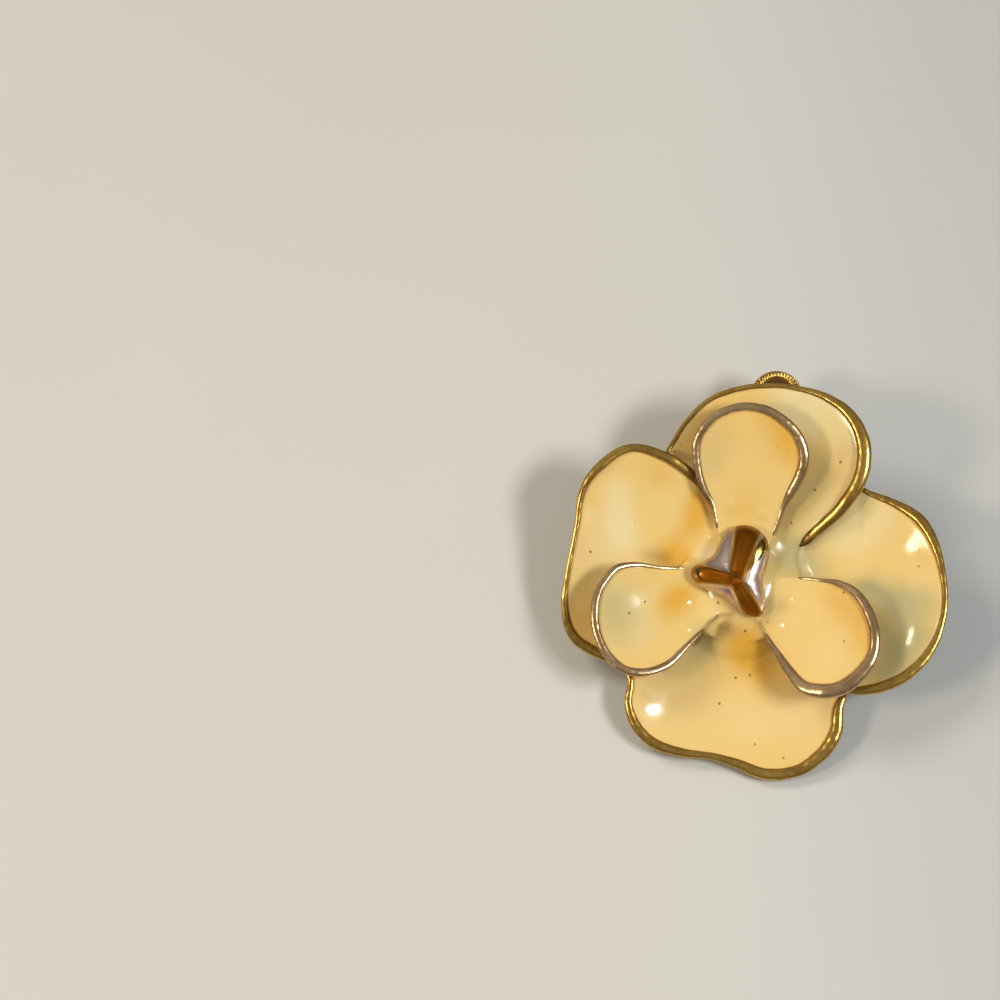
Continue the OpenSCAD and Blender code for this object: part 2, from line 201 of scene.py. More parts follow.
# Petals. Rim columns: bearing from the hub in degrees, reach in mm, lift over the hub,
# half the width of the rolled rim. Heart columns: bearing, reach, lift, slope outwards,
# slope across. Folds: x, y, length, width, direction in degrees, height. Stains on the rim:
# x, y, size, amount.
petals = {
    "right": {
        "rim": [
            [-54, 4.2, 0.3, 0.12], [-52, 8, 1, 0.2], [-49, 11, 1.4, 0.25], [-46, 13.6, 1.8, 0.33],
            [-39, 15.5, 2, 0.47], [-30, 17.2, 2.2, 0.47], [-20, 18.2, 2.3, 0.38],
            [-9, 18.5, 2.4, 0.28], [2, 18.2, 2.3, 0.3], [11, 17.8, 2.1, 0.42], [19, 17.1, 1.9, 0.5],
            [27, 15.6, 1.6, 0.35], [34, 14.3, 1.4, 0.25], [39, 14, 1.35, 0.2]],
        "heart": [-8, 11.4, 1, 0.13, -0.02], "over": "top", "turn": 0,
        "folds": [
            [15.1, -2.8, 3.7, 2.8, -1, 0.85], [16.2, -4.6, 2, 1.3, 34, 0.25],
            [15.65, 2.85, 1.84, 1.84, 0, -0.16]]},
    "top": {
        "rim": [
            [28, 4.2, 0.3, 0.12], [33, 7.6, 1, 0.42], [35, 11, 2.1, 0.57], [39, 14, 2.8, 0.65],
            [45, 16.2, 3.1, 0.65], [53, 17.8, 3.2, 0.55], [62, 18.5, 3, 0.38],
            [74, 18.4, 2.6, 0.22], [87, 17.9, 2.2, 0.24], [98, 17.1, 1.8, 0.23],
            [107, 15.7, 1.5, 0.2], [114, 14.4, 1.3, 0.2], [120, 13.4, 1.25, 0.2]],
        "heart": [76, 11.4, 1.1, 0.14, -0.07], "over": "left", "turn": 0, "rimFrom": 0.68,
        "stains": [[4.9, 4.2, 2, 1.6], [12.4, 12, 2.6, 0.5], [7, 17, 2.5, 0.4]],
        "folds": [[3.4, 4.6, 0.9, 0.35, 80, 0.1], [9, 10, 2, 4, 30, -0.3]]},
    "left": {
        "rim": [
            [104, 4.2, 0.3, 0.12], [110, 9.2, 1.6, 0.35], [115, 11.6, 2.3, 0.5],
            [120, 13.4, 2.7, 0.45], [128, 15.7, 2.9, 0.38], [138, 16.4, 3, 0.42],
            [148, 16.5, 2.7, 0.3], [161, 15.6, 2.1, 0.22], [174, 15.6, 1.5, 0.22],
            [187, 16.1, 0.7, 0.3], [196, 15.9, 0.1, 0.45], [203, 14.7, -0.2, 0.5],
            [214, 12.4, -0.45, 0.38]],
        "heart": [160, 10.4, 1, 0.08, -0.13], "over": "bottom", "turn": 0, "dish": 0.55,
        "folds": [[-11.7, 6, 4.6, 2.4, 84, 0.34], [-6.4, 2.4, 3, 1.6, 10, -0.25]]},
    "bottom": {
        "rim": [
            [204, 4.2, 0.3, 0.12], [206, 7.6, 0.7, 0.22], [210, 10.5, 0.9, 0.25],
            [213, 12.6, 1.1, 0.25], [221, 13.2, 1, 0.27], [227, 14.9, 0.9, 0.36],
            [234, 16, 0.7, 0.45], [242, 16.4, 0.5, 0.47], [251, 16.1, 0.3, 0.4],
            [260, 15.8, 0.2, 0.33], [268, 16.2, 0.05, 0.43], [277, 17.3, -0.1, 0.54],
            [286, 17.6, -0.2, 0.54], [295, 17, 0, 0.6], [302, 15.9, 0.2, 0.58],
            [308, 14.2, 0.3, 0.45], [314, 13.6, 0.35, 0.3]],
        "heart": [262, 10.6, 0.2, 0, -0.02], "over": "right", "turn": 360,
        "folds": [
            [-10.1, -11.1, 2.4, 1.15, 5, 0.42], [2, -10.4, 4, 1.5, 4, 0.22],
            [1.9, -5.2, 0.8, 0.35, -45, 0.12]]},
    "innerTop": {
        "rim": [
            [50, 3.4, 1.5, 0.1], [58, 7.2, 2.1, 0.18], [59, 9.2, 2.8, 0.38], [59, 11, 3.4, 0.46],
            [61, 12.5, 3.9, 0.47], [66, 13.9, 4.3, 0.45], [74, 15, 4.7, 0.43],
            [83, 15.6, 4.9, 0.39], [92, 15.4, 4.8, 0.37], [100, 14.5, 4.5, 0.38],
            [106, 13, 4.1, 0.36], [109, 10.9, 3.5, 0.33], [110, 9, 2.9, 0.33],
            [108, 7.2, 2.25, 0.18], [114, 3.4, 1.5, 0.1]],
        "heart": [84, 10.4, 3.1, 0.28, 0], "dish": -0.05,
        "stains": [[-3.7, 8.8, 2.4, 0.9], [4.6, 8.4, 1.8, 0.5], [7, 12, 1.4, 0.4]],
        "folds": [[-0.7, 7, 0.5, 0.5, 0, 0.12], [2.1, 6.2, 0.45, 0.45, 0, 0.1]]},
    "innerLeft": {
        "rim": [
            [158, 3.4, 1.5, 0.1], [168, 6.5, 2.2, 0.15], [170, 9, 3.3, 0.22], [173, 10.8, 3.9, 0.3],
            [180, 12, 4.3, 0.33], [188, 12.9, 4.6, 0.38], [199, 13.5, 4.6, 0.38],
            [210, 13.5, 4.4, 0.38], [219, 12.9, 4.2, 0.4], [226, 11.3, 3.75, 0.36],
            [230, 9.4, 3.25, 0.33], [231, 7.3, 2.7, 0.24], [234, 3.4, 1.5, 0.1]],
        "heart": [200, 9, 3, 0.3, 0], "dish": -0.35,
        "folds": [
            [-10, -0.8, 2.4, 1.8, 20, 0.28], [-4.7, -1.5, 0.5, 0.5, 0, 0.14],
            [-4.7, -4.1, 0.6, 0.45, 0, 0.14]]},
    "innerRight": {
        "rim": [
            [-66, 3.4, 1.5, 0.1], [-63, 6.6, 2.15, 0.25], [-62, 9, 3.05, 0.45],
            [-60, 11.1, 3.8, 0.6], [-55, 12.4, 4.3, 0.68], [-48, 13.4, 4.6, 0.67],
            [-40, 13.8, 4.8, 0.6], [-31, 13.8, 4.9, 0.5], [-23, 13.1, 4.9, 0.47],
            [-15, 11.9, 4.65, 0.46], [-8, 10.6, 4.3, 0.4], [-3, 9, 3.65, 0.3], [0, 7.2, 2.75, 0.16],
            [6, 3.4, 1.5, 0.1]],
        "heart": [-32, 9, 3.1, 0.32, 0.03], "dish": -0.3,
        "folds": [[3.9, -3.7, 0.5, 0.4, 0, 0.12], [4.8, -1.4, 0.35, 0.35, 0, 0.09]]},
}
petalShape = {
    "metalThick": 0.8, "enamelThick": 0.25, "gap": 0.05, "around": 480, "levels": 160, "blur": 4.5,
    "outerDish": 0.9, "innerDish": 0.3, "drop": 0.25, "outerHub": 4.9, "innerHub": 4.5,
    # how an outer petal runs on under the next one: where along its rim, how far and how deep
    "junction": 3, "clear": 0.1, "tuck": 3, "tuckDrop": 0.4, "overStep": 1.5, "overPower": 1.2,
    "rimStart": 0.2, "lineStep": 0.05, "hubSteps": 24,
    "underRim": 0.45, "leastSkew": 0.45, "edgeBlur": 3, "foldPower": 6,
}
outerNames = ["right", "top", "left", "bottom"]
innerNames = ["innerTop", "innerLeft", "innerRight"]


# Outline of a petal: its own rim, then back under the edge that covers it, then the hub
def petalOutline(petal):
    shape = petalShape
    own = np.array(petal["rim"], float)
    parts = [rowsAt(own, np.arange(shape["rimStart"], len(own) - 1, shape["lineStep"]))]
    to, hubR = own[-1, 0], shape["innerHub"]
    if petal.get("over"):
        over = np.array(petals[petal["over"]]["rim"], float)
        t = np.arange(shape["junction"] - shape["clear"], shape["rimStart"], -shape["lineStep"])
        way = t / shape["junction"]
        edge = rowsAt(over, t)
        edge[:, 0] += petal["turn"] + shape["tuck"] * (1 - way)
        edge[:, 2] -= shape["tuckDrop"] * (1 - way) + shape["overStep"] * way ** shape["overPower"]
        edge[:, 3] += edge[:, 1] * np.sin(np.radians(shape["tuck"] * (1 - way)))
        parts.append(edge)
        to, hubR = over[0, 0] + petal["turn"], shape["outerHub"]
    k = np.linspace(1, 0, shape["hubSteps"])
    hub = np.stack([own[0, 0] + (to - own[0, 0]) * k, 0 * k + own[0, 1], 0 * k + own[0, 2],
                    0 * k + hubR - own[0, 1] + shape["gap"]], -1)
    return evenLoop(flatten(np.vstack(parts + [hub])), shape["around"], shape["blur"])


# Height of a petal's metal at share s of the ray to each outline point, for all levels of s:
# heart lift + s (plane - heart lift) + rise - dish (1 - s^2)^1.5 - drop, where the rise is the
# rim's height over the plane with its harmonic k faded by s^(k + 2). The enamel's edge lies
# underRim of the rim's half width in from the outline, measured square to it.
def preparePetal(petal):
    line = petalOutline(petal)
    bearing, reach, lift, slopeOut, slopeAcross = petal["heart"]
    out = np.array(turned(1, 0, bearing))
    heart = reach * out
    ray = line[:, :2] - heart
    plane = lift + slopeOut * (ray @ out) + slopeAcross * (out[0] * ray[:, 1] - out[1] * ray[:, 0])
    levels = np.linspace(0, 1, petalShape["levels"] + 1)[:, None]
    harmonics = np.fft.rfft(line[:, 2] - plane)
    k = np.arange(len(harmonics))
    rise = levels ** 2 * np.fft.irfft(harmonics * levels ** k, len(line), axis=1)
    dish = petal.get("dish", petalShape["outerDish" if petal.get("over") else "innerDish"])
    height = lift + levels * (plane - lift) + rise - dish * (1 - levels ** 2) ** 1.5
    along = np.roll(line[:, :2], -1, 0) - np.roll(line[:, :2], 1, 0)
    span = np.hypot(*ray.T)
    skew = np.abs(along[:, 0] * ray[:, 1] - along[:, 1] * ray[:, 0]) / np.hypot(*along.T) / span
    skew = np.maximum(skew, petalShape["leastSkew"])
    share = 1 - petalShape["underRim"] * line[:, 3] / skew / span
    petal.update(heartXY=heart, ray=ray, span=span, height=height - petalShape["drop"],
                 angle=np.maximum.accumulate(np.unwrap(np.arctan2(ray[:, 1], ray[:, 0]))),
                 edgeShare=blurLoop(share, petalShape["edgeBlur"]))


# folds stand proud of the surface as stretched bell curves
def foldHeight(petal, x, y):
    z = 0 * x
    for fx, fy, length, width, turn, high in petal["folds"]:
        u, v = turned(x - fx, y - fy, -turn)
        z = z + high * np.exp(-(u / length) ** 2 - (v / width) ** 2)
    return z


# Point on a petal's metal at share s along the ray of column c, read between the levels and
# columns worked out above, plus the folds * (1 - s^6)
def onPetal(petal, s, c):
    n, top = petalShape["around"], petalShape["levels"]
    c = np.mod(c, n)
    a = np.clip(s * top, 0, top - 1e-9)
    i, f = a.astype(int), a - a.astype(int)
    j, g = c.astype(int) % n, c - np.floor(c)
    j2 = (j + 1) % n
    h = petal["height"]
    z = ((h[i, j] * (1 - f) + h[i + 1, j] * f) * (1 - g)
         + (h[i, j2] * (1 - f) + h[i + 1, j2] * f) * g)
    ray = petal["ray"][j] * (1 - g)[..., None] + petal["ray"][j2] * g[..., None]
    xy = petal["heartXY"] + s[..., None] * ray
    x, y = xy[..., 0], xy[..., 1]
    return np.stack([x, y, z + foldHeight(petal, x, y) * (1 - s ** petalShape["foldPower"])], -1)


# the same height looked up by x and y, falling off as a wall past the outline
def petalHeightAt(petal, x, y, wall):
    dx, dy = x - petal["heartXY"][0], y - petal["heartXY"][1]
    angle = petal["angle"]
    way = angle[0] + np.mod(np.arctan2(dy, dx) - angle[0], 2 * np.pi)
    span = np.interp(way, angle, petal["span"])
    s = np.hypot(dx, dy) / span
    z = onPetal(petal, np.clip(s, 0, 1), np.interp(way, angle, np.arange(len(angle))))[..., 2]
    return z - wall * np.maximum(s - 1, 0) * span


for petal in petals.values():
    preparePetal(petal)

# Tints of the enamel where it lies deep or is stained, and painted light and shade.
# Columns: x, y, size in mm, amount.
tints = {
    # amber: partly the enamel's deeper colour, partly painted shade and bounce light in the valleys
    # between petals
    "outerAmber": [
        [-3.5, 7.6, 1.4, 0.75], [-3.9, 5.6, 1.7, 0.7], [-6, 3.6, 2, 0.35], [-6.6, 2.4, 1.4, 0.55],
        [-5.2, 2.3, 1.5, 0.6], [-7.2, 9.8, 1.5, 0.4], [-13.9, 3, 1.8, 0.25],
        [-14.2, -3.4, 2.4, 0.45], [0.3, -5.6, 2, 0.9], [1.8, -6.8, 1.8, 0.55], [2.4, -8.6, 2, 0.45],
        [-1.5, -8, 2.2, 0.25]],
    "innerAmber": [
        [-4.6, -1, 1.5, 0.45], [-5.8, -1.5, 1.6, 0.6], [-6.6, -2.8, 1.5, 0.35],
        [3.6, 14.6, 2.2, 0.45], [4.8, 12.6, 1.8, 0.5], [4.9, 10.6, 1.5, 0.3], [0.9, 6.7, 2.4, 0.4],
        [0.6, 10.5, 3.4, 0.22], [8.9, -1.9, 2, 0.5], [10.9, -3.9, 2.2, 0.5],
        [11.2, -6.2, 1.6, 0.35], [0.3, -5.6, 2, 0.9]],
    # green: partly stained enamel, partly painted shade on the right petal's lower half and other
    # shaded slopes
    "outerGreen": [
        [5, 2.6, 2.4, 0.85], [7.4, 1, 1.6, 0.35], [11.4, -0.4, 1.8, 0.65], [14.2, -1.8, 2.2, 0.8],
        [15.6, -5.6, 2.8, 0.75], [13.2, -8.4, 2.4, 0.5], [17.2, -1.6, 1.6, 0.35],
        [6.8, 6.6, 2.4, 0.4], [8.6, 9.6, 2, 0.35], [-3.6, -5.4, 1.7, 0.65]],
    "innerGreen": [
        [5, 2.6, 2.4, 0.85], [-1.6, 12.8, 2.2, 0.35], [-2.4, 10.2, 1.8, 0.35],
        [-11.4, -1.8, 3.2, 0.55], [-10, -4.8, 2.8, 0.3], [3.4, -2.2, 1.4, 0.4],
        [-3.2, -4.8, 1.6, 0.5]],
    # pale: mostly painted light and sheen on lit ridges and spots, as on the left petal and beside
    # the bud, in places paler cream
    "outerPale": [
        [-2.9, 2.5, 1.4, 0.8], [-12.4, 2.4, 3.8, 0.45], [-10.9, 8.8, 1.8, 0.55],
        [-10.8, 6.4, 1.6, 0.6], [-10.5, 4.4, 1.4, 0.45], [12, 5.6, 3, 0.55], [9, 4.2, 2, 0.4],
        [5.7, 16.4, 3.2, 0.95], [10.4, 14, 3.2, 0.55], [11.6, 10.4, 2.4, 0.4], [5, -12, 3.4, 0.4],
        [0.6, -12.4, 2.6, 0.4], [-8.6, -11.6, 2.2, 0.4], [14.4, -4.4, 1.6, 0.45]],
    "innerPale": [
        [-2.9, 2.5, 1.4, 0.8], [-9.4, -4.8, 2.6, 0.45], [-11, -1, 2.4, 0.35], [7.6, -6.8, 2.6, 0.3],
        [0.5, 9.6, 2, 0.2]],
    # shade: painted shade in valleys, under the inner petals' edges and beside the bud
    "outerShade": [
        [-7.6, 2.7, 0.8, 0.5], [-6.6, 2.5, 0.7, 0.35], [-8.6, 2.8, 0.7, 0.25],
        [-1.7, -3.9, 1, 0.95], [-2.8, -4.8, 1.3, 0.55], [-0.5, -4.4, 0.9, 0.35],
        [1.6, -7.2, 1.4, 0.25], [2.8, -6.4, 1, 0.4], [9.6, 11.6, 1.2, 0.15], [8.4, 9, 1.4, 0.15],
        [5.4, 3.4, 1, 0.2]],
    "innerShade": [[3.6, -2.3, 0.9, 0.3]],
}
# Painted shade in the creases where one petal's enamel dips under the next one's. Columns: x and y
# of both ends, width in mm, amount.
creases = [[-4.2, -5.4, -2.75, -3.6, 0.2, 0.9], [-2.75, -3.6, -1.9, -2.98, 0.2, 1],
           [-1.9, -2.98, -0.7, -2.85, 0.26, 0.6], [2.9, -5.8, 1.8, -3.7, 0.18, 0.8],
           [-3.6, 8.4, -2.9, 6.4, 0.22, 0.8], [3.3, 4.4, 3.9, 6.4, 0.16, 0.5]]
edgeTint = {"amount": 0.25, "width": 0.5, "hubR": 8, "farEdge": 9}  # amber along the rims


# painted shade along a crease: amount exp(-(distance to the segment / width)^2)
def creaseAt(x, y):
    out = 0 * x
    for x0, y0, x1, y1, width, amount in creases:
        dx, dy = x1 - x0, y1 - y0
        t = np.clip(((x - x0) * dx + (y - y0) * dy) / (dx ** 2 + dy ** 2), 0, 1)
        far = np.hypot(x - x0 - t * dx, y - y0 - t * dy)
        out = np.maximum(out, amount * np.exp(-(far / width) ** 2))
    return out


# the four tints, the creases in the shade and amount exp(-edge distance / width) in the amber
def enamelMarks(x, y, layer, edge):
    kinds = ("Amber", "Green", "Pale", "Shade")
    marks = {kind.lower(): bells(tints[layer + kind], x, y) for kind in kinds}
    marks["shade"] = marks["shade"] + creaseAt(x, y)
    marks["amber"] = marks["amber"] + edgeTint["amount"] * np.exp(-edge / edgeTint["width"])
    return marks


# Rings of a sheet as shares of the rays: from, to and how many, in the middle and at the edge
sheetShape = {
    "enamelRings": [(0.02, 0.9, 44), (0.91, 1, 16)], "edgeDip": 0.05, "dipWidth": 0.35,
    "metalRings": [(0.03, 0.97, 26), (1, 1, 1)], "topSunk": 0.03, "grain": 0.02,
    "edgeSunk": 0.1, "sunkWidth": 0.5, "columnStep": 2,
    "wornWidth": 1.2, "underTarnish": 0.75, "underWorn": 0.5,
}


# closes a sheet with every sixth ring of its underside, from the edge back
def sheetSkin(top, low, marks):
    back = slice(None, None, -6)
    marks = {key: np.vstack([v, v[back]]) for key, v in marks.items()}
    return skin(np.concatenate([top, low[back]]), **marks)


# shares and columns of a sheet's points, and the petal's columns that it uses
def sheetGrid(rings):
    columns = np.arange(0, petalShape["around"], sheetShape["columnStep"])
    steps = np.concatenate([np.linspace(*ring) for ring in rings])[:, None]
    return steps * np.ones(len(columns)), steps * 0 + columns, columns


# Enamel of a petal: from the heart to just under the rolled rim, dipping at its edge by
# edgeDip exp(-(distance to the edge / dipWidth)^2), then back underneath
def enamelSkin(petal):
    shape = sheetShape
    steps, c, columns = sheetGrid(shape["enamelRings"])
    edgeShare = petal["edgeShare"][columns]
    s = steps * edgeShare
    p = onPetal(petal, s, c)
    x, y = p[..., 0], p[..., 1]
    edge = (edgeShare - s) * petal["span"][columns]
    dip = shape["edgeDip"] * np.exp(-(edge / shape["dipWidth"]) ** 2)
    top = np.stack([x, y, p[..., 2] + petalShape["gap"] + petalShape["enamelThick"] - dip], -1)
    edge = edge + edgeTint["farEdge"] * (np.hypot(x, y) < edgeTint["hubR"])
    return sheetSkin(top, p, enamelMarks(x, y, "outer" if petal.get("over") else "inner", edge))


# Cast metal of a petal: the same surface on top, metalThick lower underneath, where it is
# grainy and sinks towards the edge by edgeSunk exp(-(distance to the edge / sunkWidth)^2)
def plateSkin(petal):
    shape = sheetShape
    s, c, columns = sheetGrid(shape["metalRings"])
    top = onPetal(petal, s, c)
    low = top - [0, 0, petalShape["metalThick"]]
    edge = (1 - s) * petal["span"][columns]
    x, y = low[..., 0], low[..., 1]
    grain = shape["grain"] * waver(x * 1.9 + y * 0.7, 5) * waver(y * 2.3, 6)
    low[..., 2] += grain - shape["edgeSunk"] * np.exp(-(edge / shape["sunkWidth"]) ** 2)
    worn = np.exp(-edge / shape["wornWidth"])
    under = shape["underTarnish"] - shape["underWorn"] * worn[::-1]
    return skin(np.concatenate([top - [0, 0, shape["topSunk"]], low[::-1]]), crest=0,
                tarnish=np.concatenate([1 + 0 * worn, under]))


# Rolled rim: across the rim's run at each station, half width * |cos|^0.9 to the sides, and
# upwards top * half width * |sin|^0.85 above the lift, low * |sin|^0.85 below it
rimShape = {
    "top": 0.62, "low": 0.72, "sides": 24, "perRow": 34, "outerFrom": 0.35, "innerFrom": 0.45,
    "squareSide": 0.9, "squareTop": 0.85, "wobble": 0.025, "wander": 0.02,
    "taper": 0.8, "leastTaper": 0.02, "endDip": 0.12, "endDipLength": 0.5,
    # rim browns: inside is tarnish, low partly tarnish and partly painted shade, outsideShade
    # painted shade on the outer flank
    "tarnish": {"low": 0.55, "inside": 0.3, "outsideShade": 0.25, "stain": 0.5}, "mostStain": 0.8,
}


def rimSkin(petal, seed):
    shape, tarnish = rimShape, rimShape["tarnish"]
    own = np.array(petal["rim"], float)
    first, final = shape["innerFrom"], len(own) - 1 - shape["innerFrom"]
    if petal.get("over"):
        first, final = petal.get("rimFrom", shape["outerFrom"]), len(own) - 1
    line = flatten(rowsAt(own, np.linspace(first, final, int((final - first) * shape["perRow"]))))
    run = np.gradient(line[:, :2], axis=0)
    run /= np.hypot(*run.T)[:, None]
    side = np.stack([run[:, 1], -run[:, 0]], -1)
    length = lengthsAlong(line)
    ends = np.minimum(length, length[-1] - length)
    taper = np.clip(ends / shape["taper"], shape["leastTaper"], 1) ** 0.5
    half = line[:, 3] * (1 + shape["wobble"] * waver(length * 1.3, seed)) * taper
    mid = line[:, 2] + shape["wander"] * waver(length * 1.1, seed + 40)
    mid = mid - shape["endDip"] * np.exp(-(ends / shape["endDipLength"]) ** 2)
    wide = line[:, :2] + side * (shape["wander"] * waver(length * 0.9, seed + 80))[:, None]
    a = ringAngles(shape["sides"])
    up = np.where(np.sin(a) > 0, shape["top"] * half[:, None], shape["low"] * taper[:, None])
    z = mid[:, None] + up * squared(np.sin(a), shape["squareTop"])
    across = half[:, None] * squared(np.cos(a), shape["squareSide"])
    xy = wide[:, None, :] + across[..., None] * side[:, None, :]
    stain = bells(petal.get("stains", []), xy[..., 0], xy[..., 1])
    # brown: tarnish on the inner edge, partly tarnish and partly painted shade on the lower half,
    # painted shade on the outer flank
    brown = (tarnish["low"] * np.clip(-np.sin(a), 0, 1)
             + tarnish["inside"] * np.clip(-np.cos(a), 0, 1) ** 3
             + tarnish["outsideShade"] * np.clip(np.cos(a), 0, 1) ** 2)
    return skin(np.concatenate([xy, z[..., None]], -1),
                crest=np.clip(np.sin(a), 0, 1) * (1 - np.clip(stain, 0, shape["mostStain"])),
                tarnish=brown + tarnish["stain"] * stain)


# a turned disc or post: radius and height pairs round the hub's axis
def turnedSkin(profile, **marks):
    rz = np.array(profile, float)
    a = ringAngles(120)
    rings = np.stack([rz[:, :1] * np.cos(a), rz[:, :1] * np.sin(a), rz[:, 1:] + 0 * a], -1)
    return skin(rings, **marks)


# Shader nodes by short calls. A value is a number or a colour for a socket, or another node's
# output to link to it. A Mix node's colour sockets are its 6 and 7, its output 2.
class NodeKit:
    def __init__(self, tree, coordinates="Object"):
        self.tree = tree
        self.where = self.add("TexCoord", coordinates, {})

    def fill(self, node, inputs):
        for key, value in inputs.items():
            socket = node.inputs[key]
            if hasattr(value, "is_output"):
                self.tree.links.new(value, socket)
            else:
                socket.default_value = (*value, 1) if socket.type == "RGBA" else value

    def add(self, kind, output, inputs, **settings):
        node = self.tree.nodes.new("ShaderNode" + kind)
        for key, value in settings.items():
            setattr(node, key, value)
        self.fill(node, inputs)
        return node.outputs[output]

    def noise(self, scale, detail, rough=0.5):
        inputs = {"Scale": scale, "Detail": detail, "Roughness": rough, "Vector": self.where}
        return self.add("TexNoise", "Fac", inputs)

    def mark(self, key):
        return self.add("Attribute", "Fac", {}, attribute_name=key)

    def sum(self, a, b, clamp=False):
        return self.add("Math", 0, {0: a, 1: b}, operation="ADD", use_clamp=clamp)

    def less(self, a, b):
        return self.add("Math", 0, {0: a, 1: b}, operation="SUBTRACT")

    def times(self, a, b):
        return self.add("Math", 0, {0: a, 1: b}, operation="MULTIPLY")

    def remap(self, value, low, high, toLow=0.0, toHigh=1.0):
        inputs = {"Value": value, "From Min": low, "From Max": high,
                  "To Min": toLow, "To Max": toHigh}
        return self.add("MapRange", "Result", inputs, interpolation_type="SMOOTHSTEP")

    def mix(self, share, a, b, **settings):
        return self.add("Mix", 2, {0: share, 6: a, 7: b}, data_type="RGBA", **settings)

    def bump(self, height, strength, distance):
        inputs = {"Strength": strength, "Distance": distance, "Height": height}
        return self.add("Bump", "Normal", inputs)


def newMaterial(name):
    mat = bpy.data.materials.new(name)
    mat.use_nodes = True
    return mat, NodeKit(mat.node_tree), mat.node_tree.nodes["Principled BSDF"]


# Metals share one recipe: a bright and a worn colour, brown tarnish where the tarnish mark or a
# cloudy pattern is high and the crest mark low, greenish spots in it, fine pits as bump. The bud
# also has a paler metal in its hollows and a brown one in its troughs.
metals = {
    "goldMetal": {
        "bright": (0.68, 0.42, 0.095), "worn": (0.47, 0.265, 0.055), "scale": 260,
        "tarnish": (0.14, 0.068, 0.016), "green": (0.17, 0.14, 0.04),
        "roughness": 0.19, "metallic": 0.84},
    "silverMetal": {
        "bright": (0.72, 0.48, 0.245), "worn": (0.52, 0.33, 0.16), "scale": 300,
        "tarnish": (0.14, 0.078, 0.03), "green": (0.18, 0.15, 0.07),
        "roughness": 0.19, "metallic": 0.84},
    "budMetal": {
        "bright": (0.38, 0.235, 0.06), "worn": (0.29, 0.17, 0.045), "scale": 420,
        "tarnish": (0.13, 0.07, 0.018), "green": (0.18, 0.15, 0.04),
        "roughness": 0.2, "metallic": 1, "hollow": (0.74, 0.6, 0.52), "deep": (0.32, 0.105, 0.007)},
}
metalWear = {
    "fineScale": 7, "pitScale": 26, "greenScale": 2.3,  # times the metal's own scale
    "cloudShare": 0.7, "fineShare": 0.5, "wornRange": (0.5, 0.72),
    "hollowRange": (0.35, 0.75), "hollowRough": 0.12, "deepRange": (0.05, 0.5), "deepRough": 0.38,
    "markShare": 0.75, "stainFine": 0.9, "stainLess": 0.42, "crest": 0.35,
    "stainRange": (0.05, 0.55), "stainRough": 0.26, "greenRange": (0.56, 0.7), "greenShare": 0.6,
    "pitRange": (0.66, 0.74), "pitShare": 0.55, "pitBump": 0.6,
    "fineRough": 0.1, "bump": (0.1, 0.06 * mm),
}


def metalMaterial(name):
    look, wear = metals[name], metalWear
    mat, kit, bsdf = newMaterial(name)
    scale, cloudRough = look["scale"], 0.55
    fine = kit.noise(scale * wear["fineScale"], 8, 0.65)
    pits = kit.noise(scale * wear["pitScale"], 4, 0.7)
    cloud = kit.times(kit.noise(scale, 6, cloudRough), wear["cloudShare"])
    worn = kit.sum(cloud, kit.times(fine, wear["fineShare"]))
    colour = kit.mix(kit.remap(worn, *wear["wornRange"]), look["bright"], look["worn"])
    parts = [part for part in ("hollow", "deep") if part in look]
    for part in parts:
        share = kit.remap(kit.mark(part), *wear[part + "Range"])
        colour = kit.mix(share, colour, look[part])
    stain = kit.sum(kit.times(kit.mark("tarnish"), wear["markShare"]),
                    kit.less(kit.times(fine, wear["stainFine"]), wear["stainLess"]))
    stain = kit.less(stain, kit.times(kit.mark("crest"), wear["crest"]))
    stain = kit.remap(stain, *wear["stainRange"])
    colour = kit.mix(stain, colour, look["tarnish"])
    spots = kit.remap(kit.noise(scale * wear["greenScale"], 5, cloudRough), *wear["greenRange"])
    colour = kit.mix(kit.times(spots, kit.times(stain, wear["greenShare"])), colour, look["green"])
    pitted = kit.remap(pits, *wear["pitRange"], 0, wear["pitShare"])
    colour = kit.mix(pitted, colour, look["tarnish"])
    rough = kit.sum(look["roughness"], kit.times(stain, wear["stainRough"]))
    for part in parts[::-1]:
        rough = kit.sum(rough, kit.times(kit.mark(part), wear[part + "Rough"]))
    rough = kit.sum(rough, kit.times(fine, wear["fineRough"]), True)
    height = kit.sum(fine, kit.times(pits, wear["pitBump"]))
    kit.fill(bsdf, {"Base Color": colour, "Metallic": look["metallic"], "Roughness": rough,
                    "Normal": kit.bump(height, *wear["bump"])})
    return mat


goldMetal, silverMetal, budMetal = [metalMaterial(name) for name in metals]

